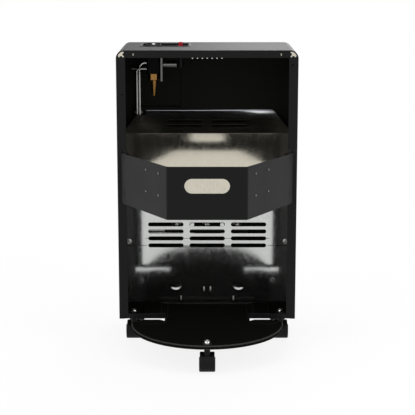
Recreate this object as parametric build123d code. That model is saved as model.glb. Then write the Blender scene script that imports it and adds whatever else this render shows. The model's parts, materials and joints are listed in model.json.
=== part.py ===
"""Portable gas cabinet heater, seen with its bottle bay open at the back.

Millimetres, +Z up, floor at Z = 0. +Y is the heating front, -Y the open bottle bay,
+X is to the right for someone who stands behind the heater.
"""
from build123d import *
from math import cos, hypot, radians, sin
import os

os.makedirs("parts", exist_ok=True)

# ---------------------------------------------------------------- cabinet
cabinet_width = 420
cabinet_depth = 250
cabinet_height = 640
cabinet_base = 73           # lower edge of the cabinet above the floor
tray_reach = 188            # how far the round tray stands out behind the cabinet
sheet = 1.0                 # painted cabinet steel
corner_radius = 19
bend_radius = 1.5           # outside radius of a folded edge
side_flange = 21.5          # width of the folded rear edge at the sides
top_flange = 17.5
front_flange = 12
notch_size = 14             # relief between side and top flange
notch_corner = 4
notch_inset = 5             # from the outside of the cabinet to the relief
notch_edge = 3              # left round the relief at the bent corner
weld_tab = 3.5              # radius of the tabs that stand into the relief
foot_notch_width = 9
foot_notch_height = 12
cover_slot_inset = 40       # slots for the rear cover's tabs, from the cabinet side
cover_slot_width = 1.8
cover_slot_height = 5
cover_hole_drops = (102, 34)    # holes for the rear cover, below the cabinet top
cover_hole_inset = 13
cover_hole_diameter = 4
gusset_width = 21
gusset_height = 17
gusset_arm_height = 8       # arm behind the slot for the cover's tab
sill_height = 12
sill_leg = 10
sill_inner_end = 99         # the sills leave the middle open for the bottle

# ---------------------------------------------------------------- clearances
seat_gap = 0.3              # between pieces that rest on each other
running_gap = 0.05          # round a shaft, on the radius
fastener_gap = 0.05         # round a rivet or bolt, on the radius

# ---------------------------------------------------------------- base tray
tray_sheet = 1.5
tray_top = 67
tray_side = 29              # from the cabinet side to the round tray's widest place
tray_straight = 7           # from the end of the half circle to the cabinet
tray_lip = 9                # height of the turned-down rim
tray_bend = 4
tray_gap = 1.5              # between the round part and the cabinet's rear edge
tray_flange = 18            # upturned edge inside the cabinet
waist_length = 28           # length of the waist between the round part and the wide part
waist_half = 102
pad_inner = 97
pad_side = 44               # from the cabinet side to the raised pad
pad_height = 4.5
pad_slope = 16
pad_corner = 6
pad_overhang = 24.6         # how far the raised pads reach out behind the cabinet
pad_end_gap = 4             # from the raised pads to the heat shield
bead_width = 9              # pressed bead across the tray that stops the bottle
bead_height = 2.2
bead_slope = 3
bead_gap = 6                # from the bead to the heat shield
nut_dimple_radius = 9.5     # pressed dimple under each caster nut
nut_dimple_depth = 0.8

# ---------------------------------------------------------------- casters
wheel_diameter = 44
wheel_width = 14.4
wheel_edge = 2
hub_recess = 1.2
hub_recess_radius = 14
hub_wall = 1.8              # left in front of the axle's end
web_width = 5
web_floor_gap = 4
hood_wall = 2.4
hood_side_wall = 1.4
hood_gap = 1.6
hood_round = 4              # rounding of the hood's shoulders
hood_floor_gap = 3
hood_back_angle = 48        # degrees, where the hood ends behind the wheels
caster_trail = 10
axle_diameter = 4
stem_diameter = 8
stem_collar = 15
stem_collar_height = 2
stem_low = 46               # lower end of the stem, inside the housing's neck
neck_radius = 7
nut_width = 13
nut_height = 6.5
nut_crown_foot = 19.5       # the cone that rounds off the nut's corners
nut_crown_top = 12.5
stem_end = 2.5              # thread that stands out of the nut
neck_foot = 33              # lower end of the swivel neck above the floor
rear_caster_place = 172     # behind the cabinet's rear edge
side_caster_place = 76      # in front of the cabinet's rear edge
front_caster_inset = 38     # from the cabinet's front edge
caster_inset = 30           # from the cabinet side

# ---------------------------------------------------------------- heat shield
zinc_sheet = 0.8
heater_depth = 88           # from the heat shield to the cabinet's front edge
shield_top = 497
shield_crease = 214
shield_tilt = 2.0           # degrees, lower part
shield_flange = 10
slot_length = 88
slot_height = 10
slot_pitch_x = 103
slot_pitch_z = 17.9
slot_columns = 3
slot_rows = 4
dimple_diameter = 30
dimple_depth = 3            # the hollows are pressed away from the bottle
dimple_place = 79
dimple_level = 113
lance_places = ((8, 101), (66, 75))
lance_width = 3
lance_height = 8
hood_angle = 33.3           # degrees
hood_end_gap = 2.2          # from the hood's upper edge to the front panel
hood_inset = 44             # from the cabinet side to the hood's upper corner
hood_lap = 12
hood_hem = 1.6              # radius of the rolled upper edge
hood_slot_place = 55
hood_slot_rows = (28, 45)   # up the slope
hood_notch = 56             # opening for the pipes, from the cabinet side
hood_notch_depth = 18
screw_head = 14
screw_head_height = 2.4
screw_shank = 4
screw_length = 8
shield_screw_inset = 14
shield_screw_levels = (224, 440)

# ---------------------------------------------------------------- front
front_recess = 12           # the front panel lies this far behind the front edge
front_return = 14
window_side = 26            # from the cabinet side to the burner window
window_low = 281
window_high = 482
window_corner = 10
vent_count = 7
vent_pitch = 12.2
vent_diameter = 3.4
vent_drop = 38.2              # below the cabinet top
louvre_rows = 5
louvre_columns = 3
louvre_length = 96
louvre_height = 7
louvre_pitch_x = 116
louvre_pitch_z = 20
louvre_level = 82
reflector_sheet = 0.8
reflector_flange = 8

# ---------------------------------------------------------------- burner
burner_count = 3
burner_side = 31            # from the cabinet side to the burners
burner_height = 196
burner_depth = 30
burner_gap = 2
burner_air = 7              # between the heat shield and the burners
burner_wall = 1.0
burner_shelf_level = 277.5  # top of the shelf that carries the burners
shelf_sheet = 1.5
shelf_flange = 12
plaque_margin = 3
plaque_thickness = 13
plaque_stand = 5            # how far a plaque stands out of its burner body
groove_width = 2
groove_depth = 1.5
groove_columns = 6
groove_rows = 10
injector_pitch = 76
mixer_radius = 13
mixer_throat = 8
mixer_drop = 14             # mixing cone below the shelf
manifold_diameter = 12
manifold_level = 248
manifold_overhang = 30
injector_width = 9
injector_height = 8

# ---------------------------------------------------------------- guard
guard_wire = 4
guard_bar = 2.6
guard_margin = 9
guard_corner = 16
guard_bars = 13
guard_uprights = (-64, 64)
guard_weld = 0.4            # how far welded wires sink into each other

# ---------------------------------------------------------------- controls
control_side = 81           # gas valve and knob, from the cabinet's left side
control_place = 150         # from the cabinet's rear edge
dish_left_side = 53         # the dish's ends, from the cabinet's left side
dish_right_side = 167
dish_near = 108
dish_far = 202
dish_corner = 14
dish_depth = 7
dish_wall = 1.5
dish_rim = 4
dish_rim_height = 1.2
dish_rim_round = 0.7
dish_bottom_round = 4
spindle_diameter = 6
spindle_hole = 12
knob_diameter = 36
knob_base = 4.5
knob_edge = 1.5
knob_rise = 6               # top of the grip above the cabinet top
knob_grip_width = 9
knob_grip_gap = 1           # from the grip's ends to the knob's edge
knob_grip_round = 2
knob_socket = 5
push_travel = 4
push_rest = 0.6
valve_width = 34
valve_depth = 32
valve_corner = 4
valve_drop = 23             # top of the valve below the cabinet top
valve_height = 45
valve_collar = 14
valve_collar_height = 6
outlet_diameter = 12
outlet_length = 5
outlet_rise = 19            # above the valve's foot
outlet_shift = -5           # from the middle of the valve
pilot_outlet_diameter = 8
pilot_outlet_rise = 4.5
pilot_outlet_shift = 1
magnet_neck_diameter = 15
magnet_neck_length = 15
magnet_diameter = 17
magnet_length = 38
magnet_lip = 20             # diameter of the lip at the magnet's end
magnet_lip_length = 2.5
magnet_rise = 22.5          # above the valve's foot
bracket_sheet = 1.5
bracket_rear = 120
bracket_front = 172
bracket_drop = 16           # below the valve's foot
bracket_face = 4.5
bracket_shelf = 14
nozzle_hex = 25
nozzle_hex_height = 16
nozzle_hex_edge = 1.5
nozzle_bore = 5
barb_radii = (9, 7.8, 6.4, 4.8)   # from the hexagon down
barb_pitch = 9.5
barb_step = 1.3             # how far a barb stands out
igniter_side = 145.5        # from the cabinet's left side
igniter_place = 165
igniter_diameter = 14
igniter_drop = 55           # lower end below the cabinet top
igniter_flange = 3          # how far the igniter's flange stands out
igniter_flange_height = 2
igniter_collar = 16
igniter_collar_height = 3
button_diameter = 11
button_edge = 2
button_travel = 6
button_rise = 7             # above the cabinet top
button_bore = 16

# ---------------------------------------------------------------- pipes
pipe_diameter = 6.5
pilot_pipe_diameter = 5
lead_diameter = 2.5
pipe_bend = 14
lead_bend = 9
pilot_bend = 7
drop_gap = 11               # from the pipes' middle to the front panel
pipe_drop_side = 41.8       # all sides below count from the cabinet's left side
pilot_drop_side = 35.1
pilot_cross_gap = 0.35      # between the pilot pipe and the burner pipe where they cross
pilot_jog = 14              # drop over which the pilot pipe comes back beside the burner pipe
pipe_turn_level = 512
pipe_side_level = 492
pipe_side = 23
pilot_side = 12
pilot_side_gap = 34         # from the pilot pipe to the front panel
pilot_run_level = 238
lead_gap = 4                # from the lead to the front panel
lead_drop_side = 25
lead_side = 24
lead_shield_gap = 9.2       # from the lead to the heat shield
lead_run_level = 232
lead_turn_level = 527
lead_side_level = 496.8
lead_cross_level = 554
upper_clip_drop = 64.6       # from the cabinet's top to the upper bar
lower_clip_level = 540
clip_height = 4
clip_sides = ((22.2, 62.7), (29, 48))   # the two ends of each bar
strap_width = 10

# ---------------------------------------------------------------- pilot
pilot_x = -60
electrode_x = -47
thermocouple_x = -73
pilot_gap = 19              # from the pilot to the front panel
pilot_plate_level = 292
pilot_plate_sheet = 1
pilot_plate_margin = 7
pilot_burner_diameter = 7
pilot_burner_low = 286
pilot_burner_high = 305
thermocouple_diameter = 5
thermocouple_low = 284
thermocouple_high = 311
electrode_diameter = 6
electrode_low = 284
electrode_high = 303
spark_wire = 1.6
spark_reach = 9
spark_lean = 25             # degrees
pilot_collar = 1.5
pilot_mouth_angle = 30      # degrees

# ---------------------------------------------------------------- retaining band
band_sheet = 1.2
band_low = 356.4
band_high = 475.2
band_side = 7.3             # from the cabinet side to the end of the band
band_half_face = 88
band_reach = 187.4
band_bend = 7
band_end_gap = 0.5
hand_slot_length = 100
hand_slot_height = 33.8
hand_slot_level = 431.5
hand_slot_lip = 5
rivet_distances = (38, 95)  # from the fold, along the wing
rivet_levels = (405, 454.5)
rivet_head = 7
rivet_head_height = 1.6
rivet_crown = 4             # diameter of the flat on the rivet's head
rivet_shank = 3.2
rivet_tail = 5.4
rivet_tail_height = 1
stiffener_start = 22
stiffener_length = 89
stiffener_low = 388
stiffener_high = 468
hook_inset = 18             # from the cabinet side
hook_height = 17
hook_drop = 9
hook_lip = 3
hook_slot_width = 3
hook_slot_spare = 3
hook_levels = (372, 455)    # lower end of each hook slot
hook_lip_gap = 0.6

# ---------------------------------------------------------------- worked out
overall_depth = cabinet_depth + tray_reach
rear = tray_reach - overall_depth / 2
front = rear + cabinet_depth
half_width = cabinet_width / 2
inner_half = half_width - sheet
cabinet_top = cabinet_base + cabinet_height
panel_front = front - front_recess
panel_back = panel_front - sheet
shield_rear = front - heater_depth
shield_front = shield_rear + zinc_sheet
tray_under = tray_top - tray_sheet
tray_radius = half_width - tray_side
pad_outer = half_width - pad_side
pad_end = shield_rear - rear - pad_end_gap
shield_dome_radius = (dimple_diameter ** 2 / 4 + dimple_depth ** 2) / (2 * dimple_depth)
caster_side = half_width - caster_inset
nut_seat = tray_top - nut_dimple_depth
stem_seat = tray_under - nut_dimple_depth
wheel_radius = wheel_diameter / 2
hood_radius = wheel_radius + hood_gap + hood_wall
axle_half = web_width / 2 + wheel_width - hub_recess - hub_wall
hood_reach = panel_back - hood_end_gap - shield_front
hood_half_width = half_width - hood_inset
window_half_width = half_width - window_side
vent_level = cabinet_top - vent_drop
burner_width = (2 * (half_width - burner_side) - (burner_count - 1) * burner_gap) / burner_count
burner_front = shield_front + burner_air + burner_depth
burner_rear = burner_front - burner_depth
burner_y = (burner_rear + burner_front) / 2
plaque_front = burner_front + plaque_stand
pilot_y = panel_back - pilot_gap
shelf_top = burner_shelf_level - seat_gap
burner_pitch = burner_width + burner_gap
shelf_half = (burner_count * burner_pitch - burner_gap) / 2
dish_left = dish_left_side - half_width
dish_right = dish_right_side - half_width
dish_floor = cabinet_top - dish_depth
dish_under = dish_floor - dish_wall
control_x = control_side - half_width
control_y = rear + control_place
valve_high = cabinet_top - valve_drop
valve_low = valve_high - valve_height
valve_face = control_y + valve_depth / 2
outlet_end = valve_face + outlet_length
outlet_x = control_x + outlet_shift
clip_levels = (cabinet_top - upper_clip_drop, lower_clip_level)
outlet_level = valve_low + outlet_rise
pilot_outlet_x = control_x + pilot_outlet_shift
pilot_outlet_level = valve_low + pilot_outlet_rise
magnet_start = control_x + valve_width / 2
magnet_level = valve_low + magnet_rise
igniter_x = igniter_side - half_width
igniter_y = rear + igniter_place
igniter_low = cabinet_top - igniter_drop
knob_low = dish_floor + push_travel + push_rest
spindle_high = knob_low + knob_socket - seat_gap
spindle_low = valve_high - push_travel - push_rest
collar_top = dish_floor + igniter_collar_height
drop_y = panel_back - drop_gap
manifold_end = -injector_pitch - manifold_overhang
band_half_end = half_width - band_side
hook_place = half_width - hook_inset
hook_slot_height = hook_height + hook_drop + hook_slot_spare


def block(x0, x1, y0, y1, z0, z1):
    """Rectangular solid between two corners."""
    centre = Pos((x0 + x1) / 2, (y0 + y1) / 2, (z0 + z1) / 2)
    return centre * Box(x1 - x0, y1 - y0, z1 - z0)


def rod_x(x0, x1, y, z, radius):
    """Cylinder along X."""
    return Pos((x0 + x1) / 2, y, z) * Rot(0, 90, 0) * Cylinder(radius, x1 - x0)


def rod_y(x, y0, y1, z, radius):
    """Cylinder along Y."""
    return Pos(x, (y0 + y1) / 2, z) * Rot(90, 0, 0) * Cylinder(radius, y1 - y0)


def rod_z(x, y, z0, z1, radius):
    """Cylinder along Z."""
    return Pos(x, y, (z0 + z1) / 2) * Cylinder(radius, z1 - z0)


def upright(outline, y0, y1):
    """Plate with an outline drawn in X and Z, from y0 to y1."""
    plane = Plane(origin=(0, y0, 0), x_dir=(1, 0, 0), z_dir=(0, -1, 0))
    return extrude(plane * outline, amount=-(y1 - y0))


def flat(outline, z0, z1):
    """Plate with an outline drawn in X and Y, from z0 to z1."""
    return extrude(Pos(0, 0, z0) * outline, amount=z1 - z0)


def rectangle(x0, x1, y0, y1, corner=0):
    """Rectangle between two corners, with rounded corners if asked."""
    centre = Pos((x0 + x1) / 2, (y0 + y1) / 2)
    if corner > 0:
        return centre * RectangleRounded(x1 - x0, y1 - y0, corner)
    return centre * Rectangle(x1 - x0, y1 - y0)


def tube_along(points, bend, radius):
    """Round bar through points, with the same bend at every corner."""
    path = FilletPolyline(*points, radius=bend)
    section = Plane(origin=path @ 0, z_dir=path % 0) * Circle(radius)
    return sweep(section, path=path)


def save(shape, node):
    """Write one sub-part."""
    export_step(shape, f"parts/{node}.step")


# ---------------------------------------------------------------- cabinet
def cabinet_outline(inset):
    """Cabinet seen from behind, drawn in by inset at the sides and the top."""
    half = half_width - inset
    outline = rectangle(-half, half, cabinet_base, cabinet_top - inset)
    return fillet(outline.vertices().group_by(Axis.Y)[-1], corner_radius - inset)


def edge_frame(side, top):
    """Folded edge round an open end of the cabinet."""
    half = half_width - side
    opening = rectangle(-half, half, cabinet_base, cabinet_top - top)
    return cabinet_outline(0) - opening


def corner_relief(side):
    """Relief between side and top flange, with two round weld tabs left standing in it."""
    x = half_width - notch_inset - notch_size / 2
    z = cabinet_top - (notch_inset + notch_size) / 2
    relief = Pos(side * x, z) * RectangleRounded(notch_size, notch_size, notch_corner)
    relief &= cabinet_outline(notch_edge)
    relief -= Pos(side * x, z - notch_size / 2) * Circle(weld_tab)
    return relief - Pos(side * (x - notch_size / 2), z) * Circle(weld_tab)


def cover_slot_level():
    """Middle of the slots in the top flange."""
    return cabinet_top - top_flange / 2 - sheet


def rear_flange_cuts():
    """Everything cut into the folded rear edge."""
    cuts = []
    hook_z = [level + hook_slot_height / 2 for level in hook_levels]
    foot_x = half_width - side_flange + foot_notch_width / 2
    foot_z = cabinet_base + foot_notch_height / 2
    slot_x = half_width - cover_slot_inset
    hole_x = half_width - cover_hole_inset
    for side, hole_drop in zip((-1, 1), cover_hole_drops):
        cuts.append(corner_relief(side))
        cuts.append(Pos(side * foot_x, foot_z) * Rectangle(foot_notch_width, foot_notch_height))
        cuts.append(Pos(side * slot_x, cover_slot_level()) * Rectangle(cover_slot_width, cover_slot_height))
        cuts.append(Pos(side * hole_x, cabinet_top - hole_drop) * Circle(cover_hole_diameter / 2))
        for z in hook_z:
            cuts.append(Pos(side * hook_place, z) * Rectangle(hook_slot_width, hook_slot_height))
    return Sketch() + cuts


def on_outer_edge(edge):
    """True for the outside edges at the two open ends of the cabinet."""
    middle = edge @ 0.5
    slack = sheet / 10
    at_end = min(abs(middle.Y - rear), abs(middle.Y - front)) < slack
    arc_x = abs(middle.X) - half_width + corner_radius
    arc_z = middle.Z - cabinet_top + corner_radius
    on_side = abs(middle.X) > half_width - slack
    on_top = middle.Z > cabinet_top - slack
    on_arc = min(arc_x, arc_z) > 0 and abs(hypot(arc_x, arc_z) - corner_radius) < slack
    return at_end and (on_side or on_top or on_arc)


def cabinet_shell():
    """Sides and top in one folded sheet, with folded edges at the back and the front."""
    wrap = upright(cabinet_outline(0) - cabinet_outline(sheet), rear, front)
    back_edge = upright(edge_frame(side_flange, top_flange), rear, rear + sheet)
    front_edge = upright(edge_frame(front_flange, front_flange), front - sheet, front)
    shell = wrap + back_edge + front_edge
    outer = [edge for edge in shell.edges() if on_outer_edge(edge)]
    shell = fillet(outer, bend_radius)
    shell -= upright(rear_flange_cuts(), rear - sheet, rear + 2 * sheet)
    dish_hole = rectangle(dish_left, dish_right, rear + dish_near, rear + dish_far, dish_corner)
    return shell - flat(dish_hole, cabinet_top - 2 * sheet, cabinet_top + sheet)


def corner_gussets():
    """Galvanised plates behind the reliefs of the rear edge, each with an arm behind a cover slot."""
    y0 = rear + sheet
    arm_low = cover_slot_level() - gusset_arm_height / 2
    plates = []
    for side in (-1, 1):
        x_outer = side * half_width
        x_inner = side * (half_width - gusset_width)
        x_arm = side * (half_width - cover_slot_inset - gusset_arm_height / 2)
        window = rectangle(min(x_inner, x_outer), max(x_inner, x_outer), cabinet_top - gusset_height, cabinet_top)
        window += rectangle(min(x_arm, x_outer), max(x_arm, x_outer), arm_low, arm_low + gusset_arm_height)
        plates.append(upright(cabinet_outline(sheet + seat_gap) & window, y0, y0 + zinc_sheet))
    return Compound(plates)


def rear_sills():
    """Angles across the foot of the open back, left and right of the bottle."""
    sills = []
    z0 = cabinet_base + seat_gap
    y0 = rear + sheet
    for side in (-1, 1):
        inner = side * sill_inner_end
        outer = side * (inner_half - seat_gap)
        low, high = min(inner, outer), max(inner, outer)
        wall = block(low, high, y0, y0 + sheet, z0, z0 + sill_height)
        leg = block(low, high, y0, y0 + sill_leg, z0, z0 + sheet)
        sills.append(wall + leg)
    return Compound(sills)


# ---------------------------------------------------------------- base tray
def round_tray(inset, far):
    """Half circle with straight ends, drawn in by inset, up to far."""
    radius = tray_radius - inset
    centre = rear - tray_straight
    disc = Pos(0, centre) * Circle(radius)
    ends = rectangle(-radius, radius, centre, far)
    beyond = rectangle(-2 * radius, 2 * radius, centre, centre + 2 * radius)
    return (disc - beyond) + ends


def raised_pad(side):
    """Raised pad under one side of the bottle, with sloped walls."""
    middle = side * (pad_inner + pad_outer) / 2
    length = pad_end + pad_overhang
    centre = rear + (pad_end - pad_overhang) / 2
    width = pad_outer - pad_inner
    foot = Pos(middle, centre, tray_top) * RectangleRounded(width, length, pad_corner + pad_slope)
    crown_width = width - 2 * pad_slope
    crown_length = length - 2 * pad_slope
    crown = Pos(middle, centre, tray_top + pad_height) * RectangleRounded(crown_width, crown_length, pad_corner)
    return loft([foot, crown])


def caster_places():
    """Stem positions: one under the round tray, two at mid depth, two at the front."""
    rear_one = [("rear", 0, rear - rear_caster_place)]
    others = []
    for side_name, side in (("left", -1), ("right", 1)):
        others.append((f"side_{side_name}", side * caster_side, rear + side_caster_place))
        others.append((f"front_{side_name}", side * caster_side, front - front_caster_inset))
    return rear_one + others


def tray_bead():
    """Bead across the middle of the tray, from pad to pad, that stops the bottle."""
    half = pad_inner + pad_corner + pad_slope
    far = shield_rear - bead_gap
    crown = tray_top + bead_height
    profile = make_face(Polyline(
        (far - bead_width, tray_top), (far, tray_top), (far - bead_slope, crown),
        (far - bead_width + bead_slope, crown), close=True))
    plane = Plane(origin=(-half, 0, 0), x_dir=(0, 1, 0), z_dir=(1, 0, 0))
    return extrude(plane * profile, amount=2 * half)


def base_tray():
    """Pressed base: round bottle tray, waist and wide floor of the cabinet."""
    near = rear - tray_gap
    dome = flat(round_tray(0, near), tray_top - tray_lip, tray_top)
    rim = [e for e in dome.edges().group_by(Axis.Z)[-1] if (e @ 0.5).Y < near - tray_straight / 4]
    dome = fillet(rim, tray_bend)
    hollow = flat(round_tray(tray_sheet, near + tray_sheet), tray_top - 2 * tray_lip, tray_under)
    wide_half = inner_half - seat_gap
    wide_near = rear + waist_length
    wide_far = front - sheet - seat_gap
    floor_plan = rectangle(-wide_half, wide_half, wide_near, wide_far)
    waist_plan = rectangle(-waist_half, waist_half, near - tray_sheet, wide_near)
    floor = flat(floor_plan + waist_plan, tray_under, tray_top)
    flange_top = tray_top + tray_flange
    flanges = block(-wide_half, wide_half, wide_far - tray_sheet, wide_far, tray_under, flange_top)
    for side in (-1, 1):
        inner = side * (wide_half - tray_sheet)
        outer = side * wide_half
        flanges += block(min(inner, outer), max(inner, outer), wide_near, wide_far, tray_under, flange_top)
    tray = (dome - hollow) + floor + flanges
    pressings = (raised_pad(-1), raised_pad(1), tray_bead())
    for pressing in pressings:
        tray += pressing
    for pressing in pressings:
        tray -= Pos(0, 0, -tray_sheet) * pressing
    bays = block(-half_width, half_width, near, wide_near, tray_under - tray_lip, tray_top + 2 * pad_height)
    bays -= block(-waist_half, waist_half, near, wide_near, tray_under - tray_lip, tray_top + 2 * pad_height)
    tray -= bays
    for _, x, y in caster_places():
        tray += rod_z(x, y, stem_seat, tray_under, nut_dimple_radius + tray_sheet / 2)
        tray -= rod_z(x, y, nut_seat, tray_top, nut_dimple_radius)
        tray -= rod_z(x, y, stem_seat - sheet, nut_seat + sheet, stem_diameter / 2 + fastener_gap)
    return tray


# ---------------------------------------------------------------- casters
def caster_stems():
    """Threaded stems that hold the casters to the tray."""
    stems = []
    for _, x, y in caster_places():
        stem = rod_z(x, y, stem_low, nut_seat + nut_height + stem_end, stem_diameter / 2)
        stem += rod_z(x, y, stem_seat - stem_collar_height, stem_seat, stem_collar / 2)
        stems.append(stem)
    return Compound(stems)


def caster_nuts():
    """Hexagon nuts on top of the tray."""
    nuts = []
    for _, x, y in caster_places():
        outline = RegularPolygon(nut_width / 2, 6, major_radius=False)
        bore = Circle(stem_diameter / 2 + fastener_gap)
        nut = flat(Pos(x, y) * (outline - bore), nut_seat, nut_seat + nut_height)
        crown = Pos(x, y, nut_seat + nut_height / 2) * Cone(nut_crown_foot / 2, nut_crown_top / 2, nut_height)
        nuts.append(nut & crown)
    return Compound(nuts)


def caster_housing(x, y):
    """Hood over two wheels, with a web between them and a swivel neck."""
    hub_y = y + caster_trail
    half = web_width / 2 + wheel_width + hood_gap
    cover = rod_x(x - half, x + half, hub_y, wheel_radius, hood_radius)
    cover = fillet(cover.edges(), hood_round)
    room_half = half - hood_side_wall
    inside = rod_x(x - room_half, x + room_half, hub_y, wheel_radius, hood_radius - hood_wall)
    inside = fillet(inside.edges(), hood_round - hood_wall)
    side_holes = rod_x(x - 2 * half, x + 2 * half, hub_y, wheel_radius, wheel_radius - hood_wall)
    reach = 2 * hood_radius
    low_cut = block(x - reach, x + reach, y - reach, y + reach, -reach, hood_floor_gap)
    back_cut = Pos(x, hub_y, wheel_radius) * Rot(hood_back_angle, 0, 0) * Pos(0, reach, 0) * Box(
        2 * reach, 2 * reach, 2 * reach)
    web = rod_x(x - web_width / 2, x + web_width / 2, hub_y, wheel_radius, hood_radius - hood_wall / 2)
    web -= back_cut
    web += rod_x(x - web_width / 2, x + web_width / 2, hub_y, wheel_radius, wheel_radius - hood_wall)
    web -= block(x - reach, x + reach, y - reach, y + reach, -reach, web_floor_gap)
    hood = cover - inside - side_holes - low_cut - back_cut
    neck = rod_z(x, y, neck_foot, stem_seat - stem_collar_height - seat_gap, neck_radius)
    for side in (-1, 1):
        low, high = min(side * web_width / 2, side * room_half), max(side * web_width / 2, side * room_half)
        neck -= rod_x(x + low, x + high, hub_y, wheel_radius, wheel_radius + hood_gap)
    body = hood + web + neck
    body -= rod_z(x, y, stem_low - seat_gap, tray_top, stem_diameter / 2 + running_gap)
    return body - rod_x(x - half, x + half, hub_y, wheel_radius, axle_diameter / 2 + fastener_gap)


def caster_axle(x, y):
    """Pin through the web that both wheels turn on."""
    return rod_x(x - axle_half, x + axle_half, y + caster_trail, wheel_radius, axle_diameter / 2)


def caster_wheel(x, y, side):
    """One of the two wheels, dished on its outside, with a closed hub."""
    inner = web_width / 2 + seat_gap
    outer = web_width / 2 + wheel_width
    low, high = min(side * inner, side * outer), max(side * inner, side * outer)
    centre_y = y + caster_trail
    wheel = rod_x(x + low, x + high, centre_y, wheel_radius, wheel_radius)
    rims = wheel.edges().filter_by(GeomType.CIRCLE).sort_by(Axis.X, reverse=side < 0)
    wheel = fillet(rims[-1], wheel_edge)
    dish_low = min(side * (outer - hub_recess), side * (outer + sheet))
    dish_high = max(side * (outer - hub_recess), side * (outer + sheet))
    wheel -= rod_x(x + dish_low, x + dish_high, centre_y, wheel_radius, hub_recess_radius)
    bore_end = axle_half + seat_gap
    bore = (x - bore_end, x) if side < 0 else (x, x + bore_end)
    return wheel - rod_x(bore[0], bore[1], centre_y, wheel_radius, axle_diameter / 2 + running_gap)


# ---------------------------------------------------------------- heat shield
def heat_shield():
    """Galvanised wall in front of the bottle, creased, slotted and folded at its sides."""
    half = inner_half - seat_gap
    upper = block(-half, half, shield_rear, shield_front, shield_crease, shield_top)
    foot = tray_top + seat_gap
    length = (shield_crease - foot) / cos(radians(shield_tilt))
    crease = Pos(0, shield_rear, shield_crease)
    lower = Pos(0, zinc_sheet / 2, -length / 2) * Box(2 * half, zinc_sheet, length)
    domes = shield_domes(shield_dome_radius + zinc_sheet)
    hollows = shield_domes(shield_dome_radius)
    lower = crease * Rot(shield_tilt, 0, 0) * (lower + domes + shield_lances() - hollows)
    shield = upper + lower
    shield -= block(-half, half, rear, front, 0, foot)
    foot_half = half - tray_sheet - seat_gap
    low_z = tray_top + tray_flange + seat_gap
    foot_sides = block(-half_width, half_width, rear, front, 0, low_z)
    shield -= foot_sides - block(-foot_half, foot_half, rear, front, 0, low_z)
    for side in (-1, 1):
        inner = side * (half - zinc_sheet)
        low, high = min(inner, side * half), max(inner, side * half)
        shield += block(low, high, shield_rear, shield_front + shield_flange, low_z, shield_top - sheet)
    slots = []
    for column in range(slot_columns):
        x = (column - (slot_columns - 1) / 2) * slot_pitch_x
        for row in range(slot_rows):
            slots.append(Pos(x, shield_crease + row * slot_pitch_z) * SlotOverall(slot_length, slot_height))
    shield -= upright(Sketch() + slots, shield_rear - sheet, shield_front + sheet)
    for x, z in shield_screw_places():
        shield -= rod_y(x, shield_rear - sheet, shield_front + sheet, z, screw_shank / 2 + fastener_gap)
    return shield


def shield_domes(radius):
    """Caps of the two round hollows pressed into the lower part, about the crease."""
    slab_depth = dimple_diameter
    centre_y = dimple_depth - shield_dome_radius
    caps = []
    for side in (-1, 1):
        place = Pos(side * dimple_place, 0, dimple_level - shield_crease)
        slab = Pos(0, slab_depth / 2, 0) * Box(2 * dimple_diameter, slab_depth, 2 * dimple_diameter)
        caps.append(place * (Pos(0, centre_y, 0) * Sphere(radius) & slab))
    return caps


def shield_lances():
    """Small half-round ribs that stand out towards the bottle, about the crease."""
    lances = []
    for side in (-1, 1):
        for x, z in lance_places:
            lances.append(Pos(side * x, 0, z - shield_crease) * Cylinder(lance_width / 2, lance_height))
    return lances


def shield_screw_places():
    """Screws near the sides of the heat shield."""
    x = half_width - shield_screw_inset
    return [(side * x, z) for side in (-1, 1) for z in shield_screw_levels]


def shield_screws():
    """Pan-head screws through the heat shield."""
    screws = []
    for x, z in shield_screw_places():
        head = rod_y(x, shield_rear - screw_head_height, shield_rear, z, screw_head / 2)
        crown = head.edges().group_by(Axis.Y)[0]
        head = fillet(crown, screw_head_height * 0.6)
        shank = rod_y(x, shield_rear, shield_rear + screw_length, z, screw_shank / 2)
        screws.append(head + shank)
    return Compound(screws)


def shield_hood():
    """Sloped galvanised cover over the burner, slotted, with a rolled upper edge."""
    slope = hood_reach / cos(radians(hood_angle))
    half = inner_half - seat_gap
    lap_low = shield_top - hood_lap
    lap_half = half - zinc_sheet - seat_gap
    lap = block(-lap_half, lap_half, shield_front, shield_front + zinc_sheet, lap_low, shield_top)
    outline = make_face(Polyline(
        (-half, 0), (half, 0), (hood_half_width, slope), (-hood_half_width, slope), close=True))
    for row in hood_slot_rows:
        for side in (-1, 1):
            outline -= Pos(side * hood_slot_place, row) * SlotOverall(slot_length, slot_height)
    outline -= rectangle(-half, -half + hood_notch, slope - hood_notch_depth, 2 * slope)
    incline = Plane(origin=(0, shield_front, shield_top), x_dir=(1, 0, 0),
                    z_dir=(0, -sin(radians(hood_angle)), cos(radians(hood_angle))))
    sheet_part = extrude(incline * outline, amount=-zinc_sheet)
    hem_y = shield_front + hood_reach
    hem_z = shield_top + slope * sin(radians(hood_angle)) - zinc_sheet / 2
    hem = rod_x(-half + hood_notch, hood_half_width, hem_y, hem_z, hood_hem)
    return lap + sheet_part + hem


# ---------------------------------------------------------------- burner
def burner_places():
    """Middle of each burner, from left to right."""
    names = ("left", "centre", "right")
    return [(names[i], (i - (burner_count - 1) / 2) * burner_pitch) for i in range(burner_count)]


def injector_x(x):
    """Injector under a burner: the outer ones lie towards the middle."""
    return x / burner_pitch * injector_pitch


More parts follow.
